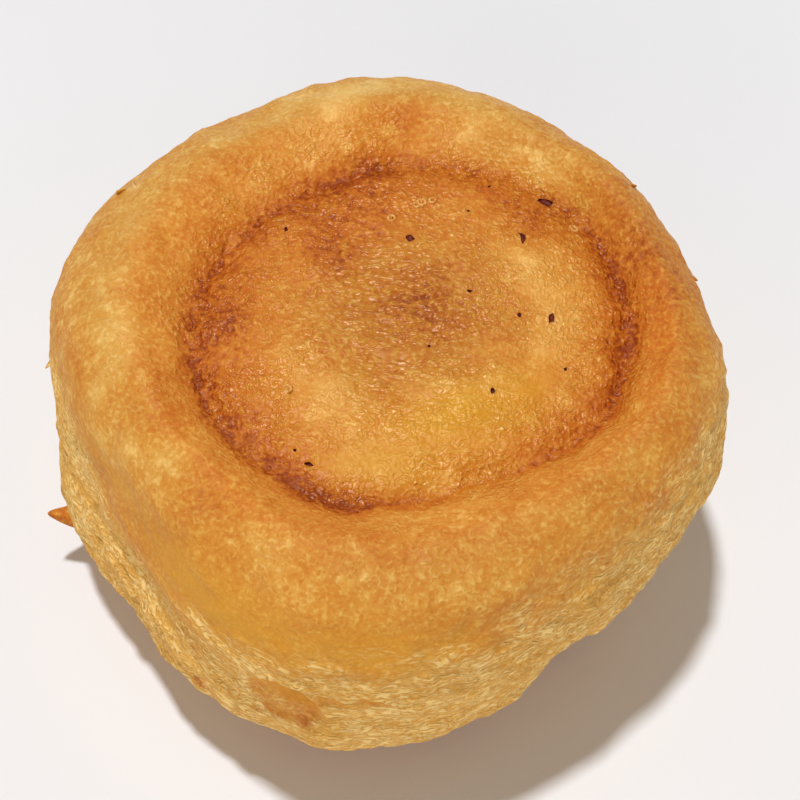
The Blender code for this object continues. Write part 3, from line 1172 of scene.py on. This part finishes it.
@dataclass(frozen=True)
class CrustMap:
    """Where the crust is browned, dry, warm and glossy, and where it carries painted glow, painted shade and
    painted sheen.

    Its tables are pairs: baked goes by ring number, and the others by angle. The patches are summed on top.
    """

    baked: tuple[tuple[float, float], ...] = (
        (0.0, 0.61), (0.6, 0.58), (1.3, 0.52), (1.9, 0.60), (2.3, 0.68), (2.7, 0.74), (3.0, 0.77),
        (3.3, 0.68), (3.7, 0.54), (4.3, 0.52), (5.0, 0.49), (5.6, 0.46), (6.5, 0.48), (7.5, 0.46),
        (8.6, 0.50), (9.5, 0.64), (11.0, 0.70), (12.0, 0.66)
    )
    inside_crease: tuple[tuple[float, float], ...] = (
        (0, 0.10), (20, 0.04), (45, 0.02), (60, -0.04), (85, -0.05), (98, 0.07), (110, 0.07),
        (125, 0.02), (145, 0.0), (165, 0.0), (202, 0.08), (225, 0.04), (245, 0.12), (262, -0.03),
        (300, -0.12), (325, -0.06), (342, 0.0), (352, 0.10), (360, 0.10)
    )
    outside_crease: tuple[tuple[float, float], ...] = (
        (0, 0.06), (25, 0.0), (45, -0.10), (60, -0.15), (90, -0.05), (130, -0.05), (160, -0.06),
        (200, -0.07), (225, -0.08), (242, -0.08), (258, -0.06), (275, -0.12), (300, -0.12),
        (330, -0.07), (360, 0.06)
    )
    # A thin darker line along the crease's groove: partly browning, partly painted shade in the narrow groove
    crease_browning_and_shade: tuple[tuple[float, float], ...] = (
        (0, 0.14), (40, 0.06), (70, 0.0), (150, 0.06), (190, 0.06), (235, 0.08), (255, 0.26),
        (275, 0.10), (320, 0.04), (340, 0.14), (360, 0.14)
    )
    straw_edge: tuple[tuple[float, float], ...] = (
        (0, 36.0), (60, 31.0), (120, 30.0), (175, 33.0), (192, 34.0), (205, 28.0), (215, 24.5),
        (228, 24.0), (242, 26.5), (257, 31.5), (285, 33.5), (300, 35.0), (320, 36.0), (340, 38.0),
        (360, 36.0)
    )
    straw_ragged: Texture = Texture((6.0 * MM, 6.0 * MM, 4.0 * MM), 2.6 * MM, 11, 2)
    straw_blur: float = 6.0 * MM
    straw_inset: tuple[float, float] = (28.0 * MM, 32.0 * MM)
    straw_end: tuple[float, float] = (3.0 * MM, 9.0 * MM)
    inside_belt: tuple[float, float] = (2.6, 0.45)
    outside_belt: tuple[float, float] = (3.8, 0.60)
    line_half_rings: float = 0.17
    warp: tuple[Texture, ...] = tuple(Texture(5.0 * MM, 1.5 * MM, seed, 3) for seed in (21, 22, 23))
    ring_bend: Texture = Texture(3.5 * MM, 0.16, 24, 2)
    ring_bend_end: float = 6.0
    warm_band: tuple[float, float, float, float] = (0.4, 1.4, 4.4, 5.3)
    gloss_outer: float = 0.40
    gloss_band: tuple[float, float, float, float] = (3.2, 5.0, 5.2, 6.8)
    gloss_mean: float = 0.85
    gloss_grain: Texture = Texture(4.5 * MM, 1.1, 25, 2)
    pocket_edge: tuple[float, float] = (1.10, 0.92)
    ceiling_edge: tuple[float, float] = (-0.15, 0.45)
    # A pocket's inside is less straw-pale; painted shade darkens it a little and its overhung ceiling more,
    # with painted glow
    pocket_straw: tuple[float, float] = (0.72, 0.28)
    pocket_painted_shade: tuple[float, float] = (0.05, 0.12)
    painted_ceiling_glow: float = 0.45
    ripple_middle: tuple[float, float] = (2.0 * MM, 1.0 * MM)
    ripple_radius: float = 13.0 * MM
    horn_bake: float = 0.72
    pockets: tuple[Pocket, ...] = (
        Pocket(254.3, 7.24, 4.6, 4.4, -16, 0.80, 0.34),
        Pocket(262.0, 7.02, 2.0, 0.8, -6, 0.35, 0.15),
        Pocket(268.5, 6.95, 1.6, 0.8, -3, 0.30, 0.12),
    )
    bake_patches: tuple[Patch, ...] = (
        # The panel
        Patch(75, 0.12, 4.8, 4.2, 0.18),
        Patch(40, 0.35, 3.5, 4.0, 0.10),
        Patch(10, 1.45, 7.0, 3.2, -0.26),
        Patch(30, 1.15, 4.0, 3.0, -0.16),
        Patch(345, 1.45, 4.0, 2.5, -0.16),
        Patch(285, 1.45, 8.0, 4.5, -0.16),
        Patch(255, 1.85, 6.0, 2.6, -0.16),
        Patch(228, 1.15, 6.0, 3.4, -0.24),
        Patch(160, 1.15, 5.0, 3.0, -0.06),
        Patch(105, 1.40, 4.0, 2.4, 0.08),
        Patch(48, 1.85, 4.0, 2.2, 0.16),
        Patch(115, 1.90, 8.0, 2.6, 0.14),
        Patch(130, 1.20, 6.0, 3.5, 0.25),
        Patch(182, 1.80, 4.6, 2.6, 0.19),
        Patch(292, 3.05, 9.0, 1.2, -0.13),
        Patch(315, 1.10, 4.0, 2.4, -0.14),
        Patch(240, 3.60, 22.0, 1.5, 0.05),
        Patch(322, 1.90, 5.0, 2.0, -0.10),
        Patch(180, 2.00, 6.0, 2.5, 0.08),
        Patch(200, 2.75, 3.0, 1.6, 0.10),
        Patch(104, 2.60, 4.0, 2.2, 0.14),
        Patch(354, 2.65, 2.6, 1.2, 0.14),
        Patch(343, 3.08, 2.6, 0.7, 0.14),
        Patch(253, 3.30, 4.2, 1.0, 0.10, -18),
        Patch(240, 3.00, 4.0, 0.9, 0.12, -10),
        # The rim; its paler patches stand partly for paler skin, partly for painted sheen of the overhead
        # light on its bulges
        Patch(52, 3.80, 2.2, 2.2, -0.22),
        Patch(72, 4.50, 2.6, 2.2, -0.16),
        Patch(88, 4.40, 2.2, 1.6, 0.14),
        Patch(100, 5.10, 3.2, 2.6, -0.24),
        Patch(110, 4.40, 4.0, 1.6, -0.12),
        Patch(165, 5.00, 9.0, 3.0, -0.14),
        Patch(188, 5.05, 4.5, 2.6, -0.24),
        Patch(219, 5.60, 3.2, 3.0, -0.22, 20),
        Patch(211, 5.75, 1.8, 3.0, -0.16, 30),
        Patch(196, 5.90, 4.0, 2.2, 0.10),
        Patch(222, 5.05, 3.0, 2.0, -0.14, 25),
        Patch(235, 5.20, 2.4, 1.2, 0.12, 40),
        Patch(205, 6.10, 2.2, 1.4, -0.26),
        Patch(198, 5.75, 1.4, 2.6, -0.22, 15),
        Patch(230, 6.40, 12.0, 6.0, 0.11),
        Patch(272, 6.20, 12.0, 4.0, 0.10),
        Patch(245, 5.40, 4.0, 1.0, -0.14, -12),
        Patch(112, 5.10, 15.0, 3.6, -0.17),
        Patch(80, 5.30, 12.0, 2.6, -0.16),
        Patch(268, 2.20, 8.0, 2.6, -0.15),
        Patch(224, 5.30, 9.0, 3.0, 0.05),
        Patch(18, 4.70, 10.0, 3.6, 0.22),
        Patch(350, 4.90, 9.0, 3.0, 0.12),
        Patch(320, 5.70, 14.0, 2.6, 0.08),
        # The side
        Patch(258.5, 7.50, 1.5, 2.2, 0.24, 20),
        Patch(250.0, 7.60, 1.2, 0.9, 0.24),
        Patch(247, 6.85, 6.0, 0.9, -0.3, -14),
        Patch(224, 4.90, 9.0, 4.0, 0.09),
        Patch(233, 7.25, 0.7, 0.6, 0.35),
        Patch(236, 7.38, 0.7, 0.5, 0.35),
        Patch(238, 7.80, 1.4, 0.8, 0.35),
    )
    straw_patches: tuple[Patch, ...] = (
        Patch(258.5, 7.50, 1.4, 2.0, -0.5),
        Patch(250.0, 7.60, 1.2, 0.9, -0.5),
        Patch(247, 6.85, 6.0, 0.9, 0.8, -14),
        Patch(230, 7.20, 5.0, 0.9, 0.6, 10),
        Patch(233, 7.25, 0.7, 0.6, -1.2),
        Patch(236, 7.38, 0.7, 0.5, -1.2),
        Patch(238, 7.80, 1.4, 0.8, -1.1),
    )
    # Painted glow of light scattered through the thin skin
    painted_glow_patches: tuple[Patch, ...] = (
        Patch(290, 1.35, 6.5, 3.6, 0.75),
        Patch(262, 1.90, 5.0, 2.2, 0.45),
        Patch(325, 1.40, 3.5, 3.0, 0.35),
        Patch(238, 6.45, 11.0, 5.0, 0.75),
        Patch(270, 6.30, 12.0, 4.0, 0.60),
        Patch(205, 6.30, 9.0, 3.5, 0.40),
    )
    warm_patches: tuple[Patch, ...] = (
        Patch(30, 4.60, 14.0, 5.0, -0.9),
        Patch(60, 4.80, 10.0, 4.0, -0.7),
        Patch(230, 4.20, 16.0, 4.0, 0.5),
        Patch(285, 2.80, 14.0, 4.0, 0.5),
    )
    gloss_patches: tuple[Patch, ...] = (
        Patch(101, 2.30, 4.0, 3.0, 0.9),
        Patch(42, 2.30, 3.5, 2.0, 0.8),
        Patch(130, 1.85, 4.0, 2.0, 0.5),
        Patch(165, 2.30, 4.0, 2.4, 0.6),
        Patch(275, 3.80, 14.0, 2.2, -0.6),
        Patch(235, 3.80, 12.0, 2.2, -0.7),
        Patch(200, 3.80, 10.0, 2.0, -0.5),
        Patch(224, 3.40, 1.8, 1.4, 0.8),
        Patch(247, 3.35, 2.0, 1.2, 0.8),
        Patch(0, 0.10, 8.0, 6.0, 0.6),
        Patch(200, 2.70, 6.0, 2.6, 0.5),
    )

    def dry_band(self, points: np.ndarray, angle: np.ndarray) -> np.ndarray:
        """How far each place lies in the pale, stretched band of the side, from 0 to 1."""
        edge = MM * around(angle, self.straw_edge) + self.straw_ragged.bumps(points)
        band = smooth_step(self.straw_blur, -self.straw_blur, points[:, 2] - edge)
        band *= smooth_step(*self.straw_inset, np.hypot(points[:, 0], points[:, 1]))
        return band * smooth_step(*self.straw_end, points[:, 2])

    def masks(self, form: BunForm, angle: np.ndarray, ring: np.ndarray) -> dict[str, np.ndarray]:
        """Works out every mask.

        Args:
            form: The form that the crust lies on.
            angle: Angles in radians.
            ring: Ring numbers.

        Returns:
            The masks by attribute name.
        """
        smooth = form.skin(angle, ring)
        warped = smooth + np.stack([texture.bumps(smooth) for texture in self.warp], axis=-1)
        bent = ring + np.where(ring < self.ring_bend_end, self.ring_bend.bumps(smooth), 0)
        bake = np.interp(bent, *zip(*self.baked))
        bake += around(angle, self.inside_crease) * bell(bent, *self.inside_belt)
        bake += around(angle, self.outside_crease) * bell(bent, *self.outside_belt)
        # The darker line in the groove: partly browning, partly painted shade
        bake += around(angle, self.crease_browning_and_shade) * bell(bent, Ring.CREASE, self.line_half_rings)
        start, full, fade, end = self.warm_band
        warm = smooth_step(start, full, ring) * smooth_step(end, fade, ring)
        full, outer, fade, end = self.gloss_band
        gloss = self.gloss_outer + (1 - self.gloss_outer) * smooth_step(outer, full, ring)
        gloss = gloss * smooth_step(end, fade, ring) * (self.gloss_mean + self.gloss_grain.bumps(smooth))
        straw, glow = self.dry_band(smooth, angle), np.zeros_like(bake)
        masks = {"bake": bake, "straw": straw, "glow": glow, "warm": warm, "gloss": gloss}
        patches = {
            "bake": self.bake_patches,
            "straw": self.straw_patches,
            "glow": self.painted_glow_patches,
            "warm": self.warm_patches,
            "gloss": self.gloss_patches,
        }
        for name, row in patches.items():
            for patch in row:
                masks[name] += patch.at(form, warped)
        for pocket in self.pockets:
            out, up = pocket.reach(form, smooth)
            inside = smooth_step(*self.pocket_edge, out)
            ceiling = inside * smooth_step(*self.ceiling_edge, up)
            # Less straw-pale inside the pocket; painted shade darkens it a little and its overhung ceiling
            # more, and the ceiling gets painted glow
            masks["straw"] *= 1 - self.pocket_straw[0] * inside - self.pocket_straw[1] * ceiling
            masks["bake"] += self.pocket_painted_shade[0] * inside + self.pocket_painted_shade[1] * ceiling
            masks["glow"] += self.painted_ceiling_glow * ceiling
        away = np.hypot(smooth[:, 0] - self.ripple_middle[0], smooth[:, 1] - self.ripple_middle[1])
        masks["ripple"] = bell(away, 0, self.ripple_radius)
        return {name: np.clip(mask, 0, 1) for name, mask in masks.items()}


@dataclass
class CrustShell:
    """The bun's whole skin in fine mesh, with the horn, the small marks, and masks for its finish."""

    low: Vector
    high: Vector
    form: BunForm = field(default_factory=BunForm)
    relief: SkinRelief = field(default_factory=SkinRelief)
    crust_map: CrustMap = field(default_factory=CrustMap)
    finish: CrustFinish = field(default_factory=CrustFinish)
    scorched: MarkFinish = MarkFinish("scorched tear", (0.085, 0.009, 0.006), (0.22, 0.028, 0.014), 0.6)
    fresh: MarkFinish = MarkFinish("fresh split", (0.88, 0.70, 0.40), (0.84, 0.58, 0.24), 0.7)
    bubbled: MarkFinish = MarkFinish("bubble rim", (0.80, 0.44, 0.13), (0.66, 0.26, 0.04), 0.32)
    horn: Horn = field(default_factory=Horn)
    horn_edge: tuple[float, float] = (0.5 * MM, 1.1 * MM)
    horn_reach: tuple[float, float] = (6.0 * MM, 2.0 * MM)
    split_shade: float = 0.6
    cells: int = 126
    polar_plan: tuple[float, ...] = (0, 25, 41, 47, 54, 61, 73, 91, 109, 124, 137, 146, 180)
    marks: tuple[Mark, ...] = (
        Mark(MarkKind.TEAR, 48, 2.75, 2.0, 1.20, 38, hook=-0.15),
        Mark(MarkKind.TEAR, 41, 1.50, 1.9, 0.60, -30, hook=0.35),
        Mark(MarkKind.TEAR, 88, 0.95, 1.3, 1.00, -88),
        Mark(MarkKind.TEAR, 1, 1.35, 1.5, 0.70, -18, hook=0.15),
        Mark(MarkKind.TEAR, 2, 1.00, 0.65, 0.50),
        Mark(MarkKind.TEAR, 27, 0.60, 0.60, 0.34, 60),
        Mark(MarkKind.TEAR, 313, 1.20, 0.75, 0.55, 40),
        Mark(MarkKind.TEAR, 340, 1.65, 0.50, 0.36),
        Mark(MarkKind.TEAR, 301, 0.40, 0.42, 0.34),
        Mark(MarkKind.TEAR, 241, 2.10, 1.05, 0.45, 15),
        Mark(MarkKind.TEAR, 235, 2.00, 0.42, 0.32),
        Mark(MarkKind.TEAR, 138, 1.95, 0.75, 0.36, 40),
        Mark(MarkKind.TEAR, 64, 2.35, 0.80, 0.30, 90),
        Mark(MarkKind.TEAR, 65, 1.50, 0.40, 0.30),
        Mark(MarkKind.SPLIT, 148, 5.60, 2.2, 0.55, 60, depth=0.8),
        Mark(MarkKind.BUBBLE, 97, 1.30, 1.15, 0.34),
        Mark(MarkKind.BUBBLE, 86, 1.50, 0.95, 0.30),
        Mark(MarkKind.BUBBLE, 84, 1.55, 1.25, 0.34),
        Mark(MarkKind.BUBBLE, 80, 1.60, 1.00, 0.30),
        Mark(MarkKind.BUBBLE, 36, 2.50, 1.25, 0.34),
        Mark(MarkKind.BUBBLE, 217, 1.40, 1.20, 0.34),
        Mark(MarkKind.CHIP, 175.0, 6.85, 2.4, 1.1, -70, 30),
        Mark(MarkKind.CHIP, 173.0, 7.00, 2.0, 0.9, -60, 34),
        Mark(MarkKind.CHIP, 150.0, 5.70, 1.9, 1.2, 30, 30),
        Mark(MarkKind.CHIP, 34.0, 5.60, 1.2, 0.8, 160, 28),
        Mark(MarkKind.CHIP, 12.0, 6.00, 1.1, 0.8, 170, 25),
    )

    def build(self) -> bpy.types.Object:
        """Models, marks and dresses the shell.

        Returns:
            The finished piece.
        """
        shell, angle, ring = self._model_skin()
        skin = read_points(shell.data)
        shell.data.materials.append(self.finish.build())
        self._add_marks(shell)
        self._write_masks(shell, skin, angle, ring)
        shell.data.transform(Matrix.Translation(self._way_home(angle, ring)))
        shell.data.shade_smooth()
        return shell

    def _model_skin(self) -> tuple[bpy.types.Object, np.ndarray, np.ndarray]:
        """Models the skin without its marks.

        Returns:
            The piece, and for each of its vertices the angle in radians and the ring number.
        """
        deselect()
        bpy.ops.mesh.primitive_cube_add(size=2)
        shell = bpy.context.object
        shell.name = "choux_shell"
        bpy.ops.object.mode_set(mode="EDIT")
        bpy.ops.mesh.select_all(action="SELECT")
        bpy.ops.mesh.subdivide(number_cuts=self.cells - 1)
        bpy.ops.object.mode_set(mode="OBJECT")

        # Evens out the cells' sizes, then reads each vertex as a direction from the bun's middle
        way = np.tan(read_points(shell.data) * math.pi / 4)
        way /= np.linalg.norm(way, axis=1)[:, None]
        angle = np.arctan2(way[:, 1], way[:, 0])
        polar = np.degrees(np.arccos(np.clip(way[:, 2], -1, 1)))
        ring = np.interp(polar, self.polar_plan, np.arange(len(Ring)))
        smooth = self.form.skin(angle, ring)
        write_points(shell.data, smooth)
        outward = read_normals(shell.data)
        dry = self.crust_map.dry_band(smooth, angle)
        height = self.form.relief(smooth, angle, ring)
        height += self.relief.at(smooth, angle, ring, self._flow(angle, ring), dry)
        height += sum(pocket.height(self.form, smooth) for pocket in self.crust_map.pockets)
        points = smooth + outward * height[:, None]
        points[:, 2] = np.maximum(points[:, 2], 0)
        points[ring > Ring.FOOT - 0.01, 2] = 0
        write_points(shell.data, points)
        return shell, angle, ring

    def _flow(self, angle: np.ndarray, ring: np.ndarray) -> np.ndarray:
        """The way round and down the skin: a place on the flank's circle, and the run down from the top."""
        steps = np.linalg.norm(np.diff(self.form.rings(np.zeros(1))[:, 0], axis=0), axis=1)
        down = np.interp(ring, np.arange(len(Ring)), np.concatenate([[0], np.cumsum(steps)]))
        radius = self.form.flank.radius
        return np.stack([radius * np.cos(angle), radius * np.sin(angle), down], axis=-1)

    def _add_marks(self, shell: bpy.types.Object) -> None:
        """Unites the horn, bubbles and chips with the skin, and cuts the tears and splits into it."""
        joined = bpy.data.collections.new("joined_shapes")
        cut = bpy.data.collections.new("cut_shapes")
        for collection in (joined, cut):
            bpy.context.scene.collection.children.link(collection)
        move_to(self.horn.model(), joined)
        own_finishes = {
            MarkKind.TEAR: self.scorched.build(),
            MarkKind.SPLIT: self.fresh.build(),
            MarkKind.BUBBLE: self.bubbled.build(),
        }
        for mark in self.marks:
            piece = mark.model()
            piece.data.transform(self._seat(shell, mark))
            if mark.kind in own_finishes:
                piece.data.materials.append(own_finishes[mark.kind])
            move_to(piece, cut if mark.is_cut else joined)
        for operation, collection in (("UNION", joined), ("DIFFERENCE", cut)):
            boolean = shell.modifiers.new(operation.lower(), "BOOLEAN")
            boolean.operation = operation
            boolean.operand_type = "COLLECTION"
            boolean.collection = collection
            boolean.solver = "MANIFOLD"
            boolean.material_mode = "TRANSFER"
            bpy.context.view_layer.objects.active = shell
            bpy.ops.object.modifier_apply(modifier=boolean.name)
            for used in list(collection.objects):
                bpy.data.objects.remove(used)
            bpy.data.collections.remove(collection)

    def _seat(self, shell: bpy.types.Object, mark: Mark) -> Matrix:
        """Works out where a mark goes.

        Args:
            shell: The skin that it lies on.
            mark: The mark.

        Returns:
            The transform that takes the mark from where it was modelled to its place on the skin.
        """
        place = Vector(self.form.one_place(mark.angle, mark.ring))
        found, on_skin, _, _ = shell.closest_point_on_mesh(place)
        assert found, "a mark lies off the skin"
        round_way = Vector(way_round(mark.angle))
        places = [self.form.one_place(mark.angle, mark.ring + step) for step in (-0.1, 0.1)]
        up_way = (Vector(places[0]) - Vector(places[1])).normalized()
        normal = round_way.cross(up_way).normalized()
        axes = Matrix((round_way, normal.cross(round_way), normal)).transposed().to_4x4()
        turned_round = Matrix.Rotation(math.radians(mark.turn), 4, "Z")
        lifted = Matrix.Rotation(-math.radians(mark.lift), 4, "Y")
        return Matrix.Translation(on_skin) @ axes @ (turned_round @ lifted)

    def _write_masks(
        self, shell: bpy.types.Object, skin: np.ndarray, angle: np.ndarray, ring: np.ndarray
    ) -> None:
        """Stores on every vertex what the crust's finish needs.

        Args:
            shell: The piece, with its marks.
            skin: The vertices that it had before its marks.
            angle: Their angles in radians.
            ring: Their ring numbers.
        """
        tree = kdtree.KDTree(len(skin))
        for i, place in enumerate(skin):
            tree.insert(place, i)
        tree.balance()
        points = read_points(shell.data)
        nearest = [tree.find(place) for place in points]
        index = np.array([found[1] for found in nearest])
        away = np.array([found[2] for found in nearest])
        angle, ring = angle[index], ring[index]
        masks = self.crust_map.masks(self.form, angle, ring)
        flow = self._flow(angle, ring)
        east, top = self.horn.tip[0] + self.horn_reach[0], self.horn.tip[2] + self.horn_reach[1]
        horn = smooth_step(*self.horn_edge, away) * ((points[:, 0] < east) & (points[:, 2] < top))
        masks["bake"] += (self.crust_map.horn_bake - masks["bake"]) * horn
        masks["straw"] *= 1 - horn
        masks["split"] = self.split_shade * self.relief.splits(flow) * masks["straw"]
        for name, mask in masks.items():
            write_mask(shell.data, name, mask)
        layer = shell.data.attributes.new("flow", "FLOAT_VECTOR", "POINT")
        layer.data.foreach_set("vector", flow.astype(np.float32).ravel())

    def _way_home(self, angle: np.ndarray, ring: np.ndarray) -> Vector:
        """Works out the way from the bun's own frame to the solid that the shell stands for.

        Args:
            angle: The skin's angles in radians.
            ring: Its ring numbers.

        Returns:
            The shift that sets the plain form's box on the solid's box.
        """
        horn = self.horn.model()
        places = np.concatenate([self.form.skin(angle, ring), read_points(horn.data)])
        bpy.data.objects.remove(horn)
        middle, solid = (places.min(axis=0) + places.max(axis=0)) / 2, (self.low + self.high) / 2
        return Vector((solid.x - middle[0], solid.y - middle[1], self.low.z - places[:, 2].min()))


# ---------------------------------------------------------------------------------------------------------
# The studio
# ---------------------------------------------------------------------------------------------------------


@dataclass
class Studio:
    """The floor, the lights and the camera, all placed from the bun's box."""

    low: Vector
    high: Vector
    floor_side: float = 3.0
    camera_distance: float = 0.240
    camera_elevation: float = 56.0
    camera_aim_height: float = 0.020
    camera_shift: tuple[float, float] = (0.0241, 0.0187)
    aim_offset: tuple[float, float] = (0.5 * MM, 0.5 * MM)
    lens: float = 89.05
    sun_strength: float = 2.30
    sun_lean: tuple[float, float] = (-0.10, 0.12)
    sun_width: float = 4.5
    sun_colour: Colour = (0.99, 1.0, 1.03)
    zenith_colour: Colour = (0.165, 0.15, 0.135)
    horizon_colour: Colour = (1.22, 1.14, 1.05)
    horizon_falloff: float = 3.0
    front_size: tuple[float, float] = (1.6, 0.8)
    front_distance: float = 1.5
    front_elevation: float = 22.0
    front_azimuth: float = -14.0
    front_power: float = 5.6
    front_colour: Colour = (1.0, 0.88, 0.74)

    def build(self) -> None:
        """Builds the floor, the lights and the camera."""
        self._build_floor()
        self._build_lights()
        self._build_camera()
        bpy.context.scene.view_settings.view_transform = "Standard"

    def _build_floor(self) -> None:
        """Lays the floor just under the bun."""
        deselect()
        bpy.ops.mesh.primitive_plane_add(size=self.floor_side, location=(0, 0, self.low.z))
        floor = bpy.context.object
        floor.name = "floor"
        floor.data.materials.append(FloorFinish().build())

    def _build_lights(self) -> None:
        """Hangs one light nearly overhead, stands a wide soft one low in front, and adds a pale sky."""
        deselect()
        bpy.ops.object.light_add(type="SUN", location=(0, 0, 1))
        sun = bpy.context.object
        sun.name = "overhead_light"
        sun.rotation_euler = Vector((*self.sun_lean, 1.0)).to_track_quat("Z", "Y").to_euler()
        sun.data.energy = self.sun_strength
        sun.data.angle = math.radians(self.sun_width)
        sun.data.color = self.sun_colour
        lift, turn = math.radians(self.front_elevation), math.radians(self.front_azimuth)
        away = Vector((math.cos(lift) * math.sin(turn), -math.cos(lift) * math.cos(turn), math.sin(lift)))
        bpy.ops.object.light_add(type="AREA", location=away * self.front_distance)
        front = bpy.context.object
        front.name = "front_light"
        front.rotation_euler = away.to_track_quat("Z", "Y").to_euler()
        front.data.shape = "RECTANGLE"
        front.data.size, front.data.size_y = self.front_size
        front.data.energy = self.front_power
        front.data.color = self.front_colour
        world = bpy.data.worlds.new("pale_sky")
        world.use_nodes = True
        wiring = Wiring(world.node_tree)
        way = wiring.node("ShaderNodeTexCoord").outputs["Generated"]
        height = wiring.node("ShaderNodeSeparateXYZ")
        wiring.feed(height.inputs[0], way)
        low = wiring.math("SUBTRACT", 1.0, wiring.math("ABSOLUTE", height.outputs["Z"]))
        glow = wiring.math("POWER", low, self.horizon_falloff)
        background = world.node_tree.nodes["Background"]
        wiring.feed(background.inputs["Color"], wiring.mix(glow, self.zenith_colour, self.horizon_colour))
        bpy.context.scene.world = world

    def _build_camera(self) -> None:
        """Sets the camera in front of the bun, looking down on it."""
        middle, (east, north) = (self.low + self.high) / 2, self.aim_offset
        aim = Vector((middle.x + east, middle.y + north, self.low.z + self.camera_aim_height))
        elevation = math.radians(self.camera_elevation)
        back = Vector((0, -math.cos(elevation), math.sin(elevation)))
        bpy.ops.object.camera_add(location=aim + back * self.camera_distance)
        camera = bpy.context.object
        camera.rotation_euler = back.to_track_quat("Z", "Y").to_euler()
        camera.data.lens = self.lens
        camera.data.shift_x, camera.data.shift_y = self.camera_shift
        camera.data.clip_start = 0.01
        bpy.context.scene.camera = camera


def main() -> None:
    """Builds the bun and its studio, and notes the shell's face count."""
    logging.basicConfig(level=logging.INFO, format="%(name)s: %(message)s")
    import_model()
    low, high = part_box(NODE)

    shell = CrustShell(low, high).build()
    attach(shell, "root")
    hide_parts(NODE)
    LOG.info("%s: %d faces", shell.name, len(shell.data.polygons))

    Studio(low, high).build()
    LOG.info("studio: floor, overhead light, sky and camera")


if __name__ == "__main__":
    main()
